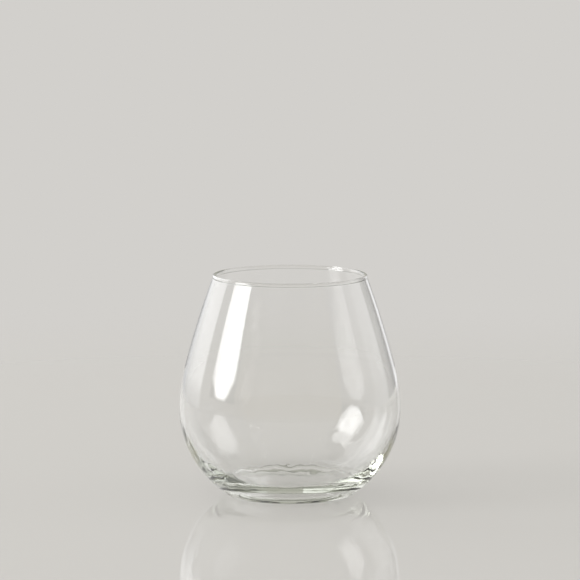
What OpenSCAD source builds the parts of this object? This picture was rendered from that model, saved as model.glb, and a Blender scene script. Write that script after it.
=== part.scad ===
// Stemless sangria glass: one piece of clear blown glass, turned about Z.
// Millimetres, +Z up, with the origin on the table at the middle of the foot.

/* [Overall] */
// Height from the table to the top of the lip
height = 100; // [92:1:125]
// Outside diameter at the belly, where the glass is widest
belly_d = 100; // [88:1:116]
// Height of the belly above the table
belly_z = 39; // [34:1:46]
// Outside diameter at the lip
rim_d = 70; // [60:1:78]
// Outside diameter of the flat ring that the glass stands on
foot_d = 54; // [46:1:60]

/* [Outside curves] */
// Radius of the curve from the belly up to the shoulder
belly_r = 75; // [55:1:85]
// Radius of the long, nearly straight shoulder under the lip
shoulder_r = 440; // [250:10:900]
// Radius that rounds the outer edge of the foot
foot_r = 4; // [2:0.5:8]

/* [Inside curves] */
// Radius of the floor inside the bowl, which is slightly dished
floor_r = 250; // [150:50:900]
// Radius of the curve from the floor up into the heel
corner_r = 24; // [12:1:28]

/* [Glass thickness] */
// Thickness of the wall at the belly
belly_wall = 1.6; // [1.2:0.1:2.5]
// Thickness of the wall at the heel, where the curve up from the floor comes nearest the outside
heel_wall = 2.9; // [2:0.1:5.5]
// Thickness of the wall just under the lip, measured level
rim_wall = 1.2; // [1:0.1:1.5]
// Diameter of the round bead along the lip
lip_d = 1.8; // [1.6:0.1:2.4]
// Thickness of the floor at its middle
floor_t = 3.6; // [3:0.2:6]

/* [Foot] */
// Width of the flat ring that the glass stands on
ring_w = 4.4; // [2:0.2:6]
// Depth of the hollow under the floor
hollow_h = 0.3; // [0.2:0.1:1]

/* [Hidden] */
$fn = 200;
// How far a tight curve stands proud of the next, wider one, so that the two cross cleanly.
lap = 0.002;

// Every point below is [distance from the axis, height above the table].
// Outside of the bowl: foot, heel, belly and shoulder curves, each touching the next.
foot_centre = [foot_d / 2, foot_r];
heel_r = heel_radius(belly_d / 2, foot_centre, foot_r);
heel_centre = [belly_d / 2 - heel_r, belly_z];
foot_top = touching_point(heel_centre, foot_centre, foot_r).y;
belly_centre = [belly_d / 2 - belly_r, belly_z];
lip_centre = [(rim_d - lip_d) / 2, height - lip_d / 2];
shoulder_centre = holding_centre(belly_centre, belly_r, lip_centre + [rim_wall / 2, 0], shoulder_r);
shoulder_low = touching_point(shoulder_centre, belly_centre, belly_r).y;

// Inside of the bowl: floor, corner, heel, belly and shoulder curves, each touching the next.
floor_z = hollow_h + floor_t;
floor_centre = [0, floor_z + floor_r];
corner_centre =
    circle_crossing(floor_centre, floor_r - corner_r, heel_centre, heel_r - heel_wall - corner_r);
cavity_side = belly_d / 2 - belly_wall;
cavity_heel_r = heel_radius(cavity_side, corner_centre, corner_r);
cavity_heel_centre = [cavity_side - cavity_heel_r, belly_z];
floor_top = touching_point(floor_centre, corner_centre, corner_r).y;
corner_top = touching_point(cavity_heel_centre, corner_centre, corner_r).y;
cavity_belly_r = belly_r - belly_wall;
cavity_shoulder_centre =
    holding_centre(belly_centre, cavity_belly_r, lip_centre - [rim_wall / 2, 0], shoulder_r);
cavity_shoulder_low = touching_point(cavity_shoulder_centre, belly_centre, cavity_belly_r).y;

// Underside: a shallow dome inside the standing ring.
hollow_edge = foot_d / 2 - ring_w;
hollow_r = (hollow_edge * hollow_edge + hollow_h * hollow_h) / (2 * hollow_h);

// Where a circle touches the larger circle around it, on the line of their centres.
function touching_point(outer_centre, inner_centre, inner_r) =
    inner_centre + inner_r * (inner_centre - outer_centre) / norm(inner_centre - outer_centre);

// Radius of a heel curve that is upright at the belly, a given distance from the axis, and holds
// a smaller circle below, touching it.
function heel_radius(side, inner_centre, inner_r) =
    let (
        inward = side - inner_centre.x,
        upward = belly_z - inner_centre.y
    )
    (inward * inward + upward * upward - inner_r * inner_r) / (2 * (inward - inner_r));

// The crossing of two circles that lies to the left of the way from a to b.
function circle_crossing(a, a_r, b, b_r) =
    let (
        span = norm(b - a),
        ahead = (b - a) / span,
        aside = [-ahead.y, ahead.x],
        forward = (a_r * a_r - b_r * b_r + span * span) / (2 * span)
    )
    a + forward * ahead + sqrt(a_r * a_r - forward * forward) * aside;

// Centre of the large circle through a point that holds a smaller circle, touching it.
function holding_centre(inner_centre, inner_r, point, outer_r) =
    circle_crossing(inner_centre, outer_r - inner_r, point, outer_r);

// Part of a disc, on the far side of the axis only, between two heights.
module disc_between(centre, r, low, high) {
    intersection() {
        translate(centre) circle(r);
        translate([0, low]) square([belly_d, high - low]);
    }
}

// Half outline of the glass as if it were solid, without the bead of the lip.
module outside_outline() {
    square([foot_centre.x, foot_top]);
    disc_between(foot_centre, foot_r + lap, 0, belly_z);
    disc_between(heel_centre, heel_r, foot_top, lip_centre.y);
    disc_between(belly_centre, belly_r - lap, belly_z, lip_centre.y);
    disc_between(shoulder_centre, shoulder_r - 2 * lap, shoulder_low, lip_centre.y);
}

// Half outline of the space that holds the drink, open past the lip.
module cavity_outline() {
    disc_between(floor_centre, floor_r, 0, floor_top);
    translate([0, floor_top]) square([corner_centre.x, corner_top - floor_top]);
    disc_between(corner_centre, corner_r + lap, floor_z, belly_z);
    disc_between(cavity_heel_centre, cavity_heel_r, corner_top, lip_centre.y);
    disc_between(belly_centre, cavity_belly_r - lap, belly_z, lip_centre.y);
    disc_between(cavity_shoulder_centre, shoulder_r - 2 * lap, cavity_shoulder_low, height + lip_d);
}

// The glass itself: bowl, thick floor, standing ring and lip are one piece.
module glass_body() {
    color([0.87, 0.91, 0.89, 0.4])
        rotate_extrude() {
            difference() {
                outside_outline();
                cavity_outline();
                translate([0, hollow_h - hollow_r]) circle(hollow_r);
            }
            translate(lip_centre) circle(lip_d / 2);
        }
}

glass_body();
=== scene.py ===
"""Looks of a clear stemless sangria glass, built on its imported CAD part. Metres, +Z up."""

import math

import bpy
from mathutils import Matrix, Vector


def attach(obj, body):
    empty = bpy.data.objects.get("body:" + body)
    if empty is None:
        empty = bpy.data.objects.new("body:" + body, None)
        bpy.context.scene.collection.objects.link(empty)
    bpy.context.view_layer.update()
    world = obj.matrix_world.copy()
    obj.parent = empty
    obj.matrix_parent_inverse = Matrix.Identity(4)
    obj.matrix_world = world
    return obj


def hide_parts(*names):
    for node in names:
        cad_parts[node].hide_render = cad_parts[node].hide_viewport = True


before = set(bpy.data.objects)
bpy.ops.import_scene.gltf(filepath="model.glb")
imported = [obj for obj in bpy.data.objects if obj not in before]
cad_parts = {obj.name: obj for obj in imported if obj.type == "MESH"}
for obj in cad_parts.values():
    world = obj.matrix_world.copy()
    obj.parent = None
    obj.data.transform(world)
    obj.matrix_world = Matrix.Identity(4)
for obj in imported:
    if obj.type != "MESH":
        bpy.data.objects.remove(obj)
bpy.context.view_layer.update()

MM = 0.001

# The glass: the part's own driving sizes, in metres.
HEIGHT = 100 * MM
BELLY_D = 100 * MM
BELLY_Z = 39 * MM
RIM_D = 70 * MM
FOOT_D = 54 * MM
BELLY_R = 75 * MM
SHOULDER_R = 440 * MM
FOOT_R = 4 * MM
FLOOR_R = 250 * MM
CORNER_R = 24 * MM
BELLY_WALL = 1.6 * MM
HEEL_WALL = 2.9 * MM
RIM_WALL = 1.2 * MM
LIP_D = 1.8 * MM
FLOOR_T = 3.6 * MM
RING_W = 4.4 * MM
HOLLOW_H = 0.3 * MM
# The melted blend where the bead of the lip runs into the wall.
LIP_BLEND_R = 0.6 * MM

# Mesh fineness: steps round the axis, and the longest step along a curve.
SEGMENTS = 360
STEP = 0.8 * MM
ARC_STEP = math.radians(4)

# Camera, as the photograph was taken.
IMAGE = 580
CAMERA_DISTANCE = 1.6
CAMERA_HEIGHT = 0.302
AIM_Z = 0.0928
FOCAL_PX = 3581
SENSOR = 36

# Clear glass, with its tint in depth.
GLASS_IOR = 1.52
TINT = (0.83, 0.85, 0.79)
TINT_DENSITY = 20
# Faint waves in the blown surface: how deep, and how many to the metre.
WAVE_DEPTH = 0.01 * MM
WAVES = 60
# Closer ripples in the thick heel: how deep, how many to the metre, between which distances
# from the axis they set in, and between which heights they fade.
RIPPLE_DEPTH = 0.14 * MM
RIPPLES = 150
RIPPLE_START = (33 * MM, 41 * MM)
RIPPLE_FADE = (15 * MM, 40 * MM)
# How many times a ray may turn before it is given up.
BOUNCES = 40

# The table lies a hair below the foot, so that the two faces never coincide, and fades into the
# backdrop between two distances from the glass.
TABLE_Z = -0.05 * MM
TABLE_HALF = 1.6
TABLE_FADE = (0.30, 0.65)
# Its colours, scene linear: under the lamps, and where its tone is plain.
TABLE = (0.800, 0.780, 0.750)
TABLE_SEEN = (0.715, 0.700, 0.665)
# How much of its tone is plain, how much of it mirrors, and how blurred the mirror is.
SHADOW_LIFT = 0.6
TABLE_POLISH = 0.30
TABLE_ROUGHNESS = 0.035

# The room: the wall behind the glass, the side behind the camera, and overhead.
WALL = (0.645, 0.630, 0.605)
FRONT = (0.45, 0.41, 0.33)
ZENITH = (0.52, 0.51, 0.48)
# Where one turns into another, along Y and Z of a unit direction.
FRONT_TO_WALL = (-0.6, 0.2)
WALL_TO_ZENITH = (0.15, 0.6)

# Lamps: how far away they stand, and how many cells their meshes have each way.
LAMP_DISTANCE = 2.0
LAMP_CELLS = 24


def touching_point(outer_centre, inner_centre, inner_r):
    """Where a circle touches the larger one around it."""
    away = (inner_centre - outer_centre).normalized()
    return inner_centre + inner_r * away


def circle_crossing(a, a_r, b, b_r):
    """The crossing of two circles that lies to the left of the way from a to b."""
    span = (b - a).length
    ahead = (b - a) / span
    aside = Vector((-ahead.y, ahead.x))
    forward = (a_r * a_r - b_r * b_r + span * span) / (2 * span)
    return a + forward * ahead + math.sqrt(a_r * a_r - forward * forward) * aside


def holding_centre(inner_centre, inner_r, point, outer_r):
    """Centre of the large circle through a point that holds a smaller circle, touching it."""
    return circle_crossing(inner_centre, outer_r - inner_r, point, outer_r)


def heel_radius(side, inner_centre, inner_r):
    """Radius of a heel curve, upright at the belly, that holds a smaller circle below, touching it."""
    inward, upward = side - inner_centre.x, BELLY_Z - inner_centre.y
    return (inward ** 2 + upward ** 2 - inner_r ** 2) / (2 * (inward - inner_r))


def direction(centre, point):
    """Angle from a centre to a point, in radians from level."""
    return math.atan2(point.y - centre.y, point.x - centre.x)


def arc(centre, radius, start, end):
    """Points of an arc from one angle towards another, without its last point."""
    count = max(2, math.ceil(abs(end - start) / min(ARC_STEP, STEP / radius)))
    turns = [start + (end - start) * i / count for i in range(count)]
    return [centre + radius * Vector((math.cos(t), math.sin(t))) for t in turns]


def glass_outline():
    """Half outline of the glass as (distance from axis, height): underside, outside, lip, inside."""
    foot = Vector((FOOT_D / 2, FOOT_R))
    heel_r = heel_radius(BELLY_D / 2, foot, FOOT_R)
    heel = Vector((BELLY_D / 2 - heel_r, BELLY_Z))
    foot_top = direction(foot, touching_point(heel, foot, FOOT_R))
    belly = Vector((BELLY_D / 2 - BELLY_R, BELLY_Z))
    lip_r = LIP_D / 2
    lip = Vector((RIM_D / 2 - lip_r, HEIGHT - lip_r))
    half_wall = Vector((RIM_WALL / 2, 0))
    shoulder = holding_centre(belly, BELLY_R, lip + half_wall, SHOULDER_R)
    shoulder_low = direction(shoulder, belly)

    floor_z = HOLLOW_H + FLOOR_T
    floor = Vector((0, floor_z + FLOOR_R))
    corner = circle_crossing(floor, FLOOR_R - CORNER_R, heel, heel_r - HEEL_WALL - CORNER_R)
    in_side = BELLY_D / 2 - BELLY_WALL
    in_heel_r = heel_radius(in_side, corner, CORNER_R)
    in_heel = Vector((in_side - in_heel_r, BELLY_Z))
    corner_top = direction(in_heel, corner)
    floor_edge = direction(floor, corner)
    in_belly_r = BELLY_R - BELLY_WALL
    in_shoulder = holding_centre(belly, in_belly_r, lip - half_wall, SHOULDER_R)
    in_shoulder_low = direction(in_shoulder, belly)

    out_blend = circle_crossing(lip, lip_r + LIP_BLEND_R, shoulder, SHOULDER_R + LIP_BLEND_R)
    in_blend = circle_crossing(lip, lip_r + LIP_BLEND_R, in_shoulder, SHOULDER_R - LIP_BLEND_R)
    shoulder_high = direction(shoulder, out_blend)
    in_shoulder_high = direction(in_shoulder, in_blend)

    ring_in = FOOT_D / 2 - RING_W
    hollow_r = (ring_in ** 2 + HOLLOW_H ** 2) / (2 * HOLLOW_H)
    hollow = Vector((0, HOLLOW_H - hollow_r))
    up, down, full_turn = math.pi / 2, -math.pi / 2, 2 * math.pi

    points = arc(hollow, hollow_r, up, direction(hollow, Vector((ring_in, 0))))
    points += [Vector((ring_in + RING_W * t, 0)) for t in (0, 0.25, 0.5, 0.75)]
    points += arc(foot, FOOT_R, down, foot_top)
    points += arc(heel, heel_r, foot_top, 0)
    points += arc(belly, BELLY_R, 0, shoulder_low)
    points += arc(shoulder, SHOULDER_R, shoulder_low, shoulder_high)
    points += arc(out_blend, LIP_BLEND_R, shoulder_high + math.pi, direction(out_blend, lip) % full_turn)
    points += arc(lip, lip_r, direction(lip, out_blend), direction(lip, in_blend) % full_turn)
    points += arc(in_blend, LIP_BLEND_R, direction(in_blend, lip), in_shoulder_high)
    points += arc(in_shoulder, SHOULDER_R, in_shoulder_high, in_shoulder_low)
    points += arc(belly, in_belly_r, in_shoulder_low, 0)
    points += arc(in_heel, in_heel_r, 0, corner_top)
    points += arc(corner, CORNER_R, corner_top, floor_edge)
    points += arc(floor, FLOOR_R, floor_edge, down)
    points.append(Vector((0, floor_z)))
    return points


def lathe(name, outline):
    """A closed mesh turned about Z from an outline whose two ends lie on the axis."""
    ends = [outline[0], outline[-1]]
    rings = outline[1:-1]
    verts = [(0, 0, ends[0].y), (0, 0, ends[1].y)]
    for p in rings:
        for i in range(SEGMENTS):
            turn = 2 * math.pi * i / SEGMENTS
            verts.append((p.x * math.cos(turn), p.x * math.sin(turn), p.y))
    faces = []
    for i in range(SEGMENTS):
        j = (i + 1) % SEGMENTS
        faces.append((0, 2 + j, 2 + i))
        for k in range(len(rings) - 1):
            low, high = 2 + k * SEGMENTS, 2 + (k + 1) * SEGMENTS
            faces.append((low + i, low + j, high + j, high + i))
        last = 2 + (len(rings) - 1) * SEGMENTS
        faces.append((last + i, last + j, 1))
    mesh = bpy.data.meshes.new(name)
    mesh.from_pydata(verts, [], faces)
    mesh.shade_smooth()
    mesh.update()
    piece = bpy.data.objects.new(name, mesh)
    bpy.context.collection.objects.link(piece)
    return piece


def new_material(name):
    """A material with only its output node: the material, its tree of nodes and that output."""
    material = bpy.data.materials.new(name)
    material.use_nodes = True
    tree = material.node_tree
    tree.nodes.clear()
    return material, tree, tree.nodes.new("ShaderNodeOutputMaterial")


def feed(tree, value, socket):
    """Set a socket to a plain number, or link another node's output to it."""
    if isinstance(value, (int, float)):
        socket.default_value = value
    else:
        tree.links.new(value, socket)


def calculate(tree, operation, first, second):
    """The result of a Math node on two numbers or outputs."""
    node = tree.nodes.new("ShaderNodeMath")
    node.operation = operation
    feed(tree, first, node.inputs[0])
    feed(tree, second, node.inputs[1])
    return node.outputs["Value"]


def smooth_change(tree, value, zero_at, one_at):
    """A smooth change from 0 to 1 as a value goes from one number to another."""
    node = tree.nodes.new("ShaderNodeMapRange")
    node.interpolation_type = "SMOOTHSTEP"
    node.inputs["From Min"].default_value = zero_at
    node.inputs["From Max"].default_value = one_at
    tree.links.new(value, node.inputs["Value"])
    return node.outputs["Result"]


def split_axes(tree, vector):
    """The three outputs X, Y and Z of a vector."""
    node = tree.nodes.new("ShaderNodeSeparateXYZ")
    tree.links.new(vector, node.inputs[0])
    return node.outputs


def length_of(tree, vector, kept=(1, 1, 1)):
    """Length of a vector, with each axis kept by 1 or left out by 0."""
    part = tree.nodes.new("ShaderNodeVectorMath")
    part.operation = "MULTIPLY"
    part.inputs[1].default_value = kept
    tree.links.new(vector, part.inputs[0])
    length = tree.nodes.new("ShaderNodeVectorMath")
    length.operation = "LENGTH"
    tree.links.new(part.outputs["Vector"], length.inputs[0])
    return length.outputs["Value"]


def noise(tree, place, scale):
    """Soft noise with so many waves to the metre."""
    node = tree.nodes.new("ShaderNodeTexNoise")
    node.inputs["Scale"].default_value = scale
    node.inputs["Detail"].default_value = 1
    tree.links.new(place, node.inputs["Vector"])
    return node.outputs["Fac"]


def bump(tree, height, depth):
    """A Bump node that tilts the surface by a height from 0 to 1 times a depth."""
    node = tree.nodes.new("ShaderNodeBump")
    node.inputs["Distance"].default_value = depth
    tree.links.new(height, node.inputs["Height"])
    return node


def mix_shaders(tree, share, first, second):
    """Two shaders mixed, with a share of the second."""
    node = tree.nodes.new("ShaderNodeMixShader")
    feed(tree, share, node.inputs["Fac"])
    tree.links.new(first, node.inputs[1])
    tree.links.new(second, node.inputs[2])
    return node.outputs["Shader"]


def clear_glass():
    """Smooth clear glass, tinted in depth, with long waves all over and ripples in the heel."""
    material, tree, output = new_material("clear_glass")
    shader = tree.nodes.new("ShaderNodeBsdfPrincipled")
    shader.inputs["Base Color"].default_value = (1, 1, 1, 1)
    shader.inputs["Roughness"].default_value = 0.0
    shader.inputs["IOR"].default_value = GLASS_IOR
    shader.inputs["Transmission Weight"].default_value = 1
    tree.links.new(shader.outputs["BSDF"], output.inputs["Surface"])

    place = tree.nodes.new("ShaderNodeTexCoord").outputs["Object"]
    wavy = bump(tree, noise(tree, place, WAVES), WAVE_DEPTH)
    low = smooth_change(tree, split_axes(tree, place)["Z"], RIPPLE_FADE[1], RIPPLE_FADE[0])
    outer = smooth_change(tree, length_of(tree, place, (1, 1, 0)), *RIPPLE_START)
    in_heel = calculate(tree, "MULTIPLY", low, outer)
    ripples = calculate(tree, "MULTIPLY", noise(tree, place, RIPPLES), in_heel)
    rippled = bump(tree, ripples, RIPPLE_DEPTH)
    tree.links.new(wavy.outputs["Normal"], rippled.inputs["Normal"])
    tree.links.new(rippled.outputs["Normal"], shader.inputs["Normal"])

    tint = tree.nodes.new("ShaderNodeVolumeAbsorption")
    tint.inputs["Color"].default_value = (*TINT, 1)
    tint.inputs["Density"].default_value = TINT_DENSITY
    tree.links.new(tint.outputs["Volume"], output.inputs["Volume"])
    return material


def table_top():
    """Pale polished table, softly shaded, that fades out with distance into the plain backdrop."""
    material, tree, output = new_material("table_top")
    matt = tree.nodes.new("ShaderNodeBsdfDiffuse")
    matt.inputs["Color"].default_value = (*TABLE, 1)
    plain = tree.nodes.new("ShaderNodeEmission")
    plain.inputs["Color"].default_value = (*TABLE_SEEN, 1)
    polish = tree.nodes.new("ShaderNodeBsdfGlossy")
    polish.inputs["Roughness"].default_value = TABLE_ROUGHNESS
    clear = tree.nodes.new("ShaderNodeBsdfTransparent")

    path = tree.nodes.new("ShaderNodeLightPath").outputs
    seen = calculate(tree, "MAXIMUM", path["Is Camera Ray"], path["Is Glossy Ray"])
    lifted = calculate(tree, "MULTIPLY", seen, SHADOW_LIFT)
    place = tree.nodes.new("ShaderNodeTexCoord").outputs["Object"]
    far = smooth_change(tree, length_of(tree, place), *TABLE_FADE)

    ground = mix_shaders(tree, lifted, matt.outputs["BSDF"], plain.outputs["Emission"])
    ground = mix_shaders(tree, TABLE_POLISH, ground, polish.outputs["BSDF"])
    ground = mix_shaders(tree, far, ground, clear.outputs["BSDF"])
    tree.links.new(ground, output.inputs["Surface"])
    return material


def table():
    """The flat sheet that the glass stands on."""
    half = TABLE_HALF
    corners = [(x, y, TABLE_Z) for x, y in ((-half, -half), (half, -half), (half, half), (-half, half))]
    mesh = bpy.data.meshes.new("floor")
    mesh.from_pydata(corners, [], [(0, 1, 2, 3)])
    mesh.materials.append(table_top())
    sheet = bpy.data.objects.new("floor", mesh)
    bpy.context.collection.objects.link(sheet)
    return sheet


def mix_colours(tree, share, first, second):
    """Two colours mixed, with a share of the second; the first may be a node's output."""
    node = tree.nodes.new("ShaderNodeMix")
    node.data_type = "RGBA"
    tree.links.new(share, node.inputs["Factor"])
    if isinstance(first, tuple):
        node.inputs["A"].default_value = (*first, 1)
    else:
        tree.links.new(first, node.inputs["A"])
    node.inputs["B"].default_value = (*second, 1)
    return node.outputs["Result"]


def studio_world():
    """Even surroundings: a pale wall behind, a dimmer, warmer room behind the camera."""
    world = bpy.data.worlds.new("studio")
    bpy.context.scene.world = world
    world.use_nodes = True
    tree = world.node_tree
    tree.nodes.clear()
    output = tree.nodes.new("ShaderNodeOutputWorld")
    background = tree.nodes.new("ShaderNodeBackground")
    axes = split_axes(tree, tree.nodes.new("ShaderNodeTexCoord").outputs["Generated"])
    walls = mix_colours(tree, smooth_change(tree, axes["Y"], *FRONT_TO_WALL), FRONT, WALL)
    room = mix_colours(tree, smooth_change(tree, axes["Z"], *WALL_TO_ZENITH), walls, ZENITH)
    tree.links.new(room, background.inputs["Color"])
    tree.links.new(background.outputs["Background"], output.inputs["Surface"])


def towards(azimuth, elevation):
    """Unit direction from angles in degrees; azimuth 0 is the camera's side, positive to its left."""
    turn, rise = math.radians(azimuth), math.radians(elevation)
    return Vector((-math.sin(turn) * math.cos(rise), -math.cos(turn) * math.cos(rise), math.sin(rise)))


def hidden_share(tree):
    """1 where a lamp should not show: straight through the glass, or in the table's mirror, unless
    the glass has reflected the ray as well."""
    path = tree.nodes.new("ShaderNodeLightPath").outputs
    never_reflected = calculate(tree, "LESS_THAN", path["Glossy Depth"], 0.5)
    through = calculate(tree, "MULTIPLY", path["Is Transmission Ray"], never_reflected)
    blurred = calculate(tree, "SUBTRACT", path["Is Glossy Ray"], path["Is Singular Ray"])
    reflected_once = calculate(tree, "LESS_THAN", path["Glossy Depth"], 1.5)
    mirrored = calculate(tree, "MULTIPLY", blurred, reflected_once)
    return calculate(tree, "MAXIMUM", through, mirrored)


def lamp_material(name):
    """Light as bright as the mesh's own glow, hidden where it should not show."""
    material, tree, output = new_material(name)
    glow = tree.nodes.new("ShaderNodeAttribute")
    glow.attribute_name = "glow"
    light = tree.nodes.new("ShaderNodeEmission")
    tree.links.new(glow.outputs["Fac"], light.inputs["Strength"])
    clear = tree.nodes.new("ShaderNodeBsdfTransparent")
    shown = mix_shaders(tree, hidden_share(tree), light.outputs["Emission"], clear.outputs["BSDF"])
    tree.links.new(shown, output.inputs["Surface"])
    return material


def panel(name, azimuths, elevations, radiance):
    """A soft lamp around the glass, between two azimuths and two elevations. Its brightness is a
    number, or a function of how far across and how far up the lamp a point lies, each from 0 to 1."""
    heart = Vector((0, 0, BELLY_Z))
    column = LAMP_CELLS + 1
    spots, glows, faces = [], [], []
    for i in range(column):
        for j in range(column):
            across, along = i / LAMP_CELLS, j / LAMP_CELLS
            azimuth = azimuths[0] + (azimuths[1] - azimuths[0]) * across
            elevation = elevations[0] + (elevations[1] - elevations[0]) * along
            spots.append(heart + LAMP_DISTANCE * towards(azimuth, elevation))
            glows.append(radiance(across, along) if callable(radiance) else radiance)
            if i < LAMP_CELLS and j < LAMP_CELLS:
                low = i * column + j
                faces.append((low, low + 1, low + column + 1, low + column))
    mesh = bpy.data.meshes.new(name)
    mesh.from_pydata(spots, [], faces)
    mesh.attributes.new("glow", "FLOAT", "POINT").data.foreach_set("value", glows)
    mesh.materials.append(lamp_material(name))
    lamp = bpy.data.objects.new(name, mesh)
    lamp.visible_camera = False
    bpy.context.collection.objects.link(lamp)


def ease(value, low, high):
    """0 below low, 1 above high, and a smooth rise between."""
    t = min(1, max(0, (value - low) / (high - low)))
    return t * t * (3 - 2 * t)


def left_window(across, along):
    """Bright window whose sill rises to both sides and whose top fades out; it is dimmer at the
    side away from the camera."""
    brightness, sill_blur = 6.0, 0.02
    sill = 0.02 + 0.30 * (1 - ease(across, 0, 0.4)) + 0.16 * ease(across, 0.70, 1)
    near_side = ease(across, 0.04, 0.10)
    far_side = 1 - 0.25 * ease(across, 0.74, 0.84)
    top = 1 - ease(along, 0.68, 0.80)
    return brightness * near_side * far_side * ease(along, sill, sill + sill_blur) * top


def left_wall(across, along):
    """Pale wall beyond the window, dimmer towards the back and the table."""
    brightness = 2.1 - 0.8 * ease(across, 0, 0.7)
    return brightness * (0.45 + 0.55 * ease(along, 0, 0.3))


def right_wall(across, along):
    """Dim wall that fades out towards the camera's side and is darker low down."""
    brightness = 0.9 - 0.45 * ease(across, 0.4, 1)
    return brightness * (0.65 + 0.35 * ease(along, 0.1, 0.4))


def photo_camera():
    """The camera at the photograph's place, aimed and framed as it was."""
    lens = bpy.data.cameras.new("camera")
    lens.sensor_width = SENSOR
    lens.lens = SENSOR * FOCAL_PX / IMAGE
    camera = bpy.data.objects.new("camera", lens)
    camera.location = (0, -CAMERA_DISTANCE, CAMERA_HEIGHT)
    aim = Vector((0, 0, AIM_Z)) - camera.location
    camera.rotation_euler = aim.to_track_quat("-Z", "Y").to_euler()
    bpy.context.collection.objects.link(camera)
    bpy.context.scene.camera = camera


glass = lathe("glass", glass_outline())
glass.data.materials.append(clear_glass())
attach(glass, "root")
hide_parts("glass_body")

table()
studio_world()
panel("left_window", azimuths=(60, 93), elevations=(2, 48), radiance=left_window)
panel("left_wall", azimuths=(109, 172), elevations=(-6, 45), radiance=left_wall)
panel("right_wall", azimuths=(-126, -55), elevations=(-4, 45), radiance=right_wall)
panel("right_shade", azimuths=(-151, -126), elevations=(-4, 45), radiance=0.2)
panel("right_strip", azimuths=(-165, -153), elevations=(-6, 12), radiance=0.9)
photo_camera()
bpy.context.scene.view_settings.view_transform = "Standard"
# Light turns many times inside the thick base before it leaves the glass.
bpy.context.scene.cycles.max_bounces = BOUNCES
bpy.context.scene.cycles.transmission_bounces = BOUNCES
bpy.context.scene.cycles.glossy_bounces = BOUNCES
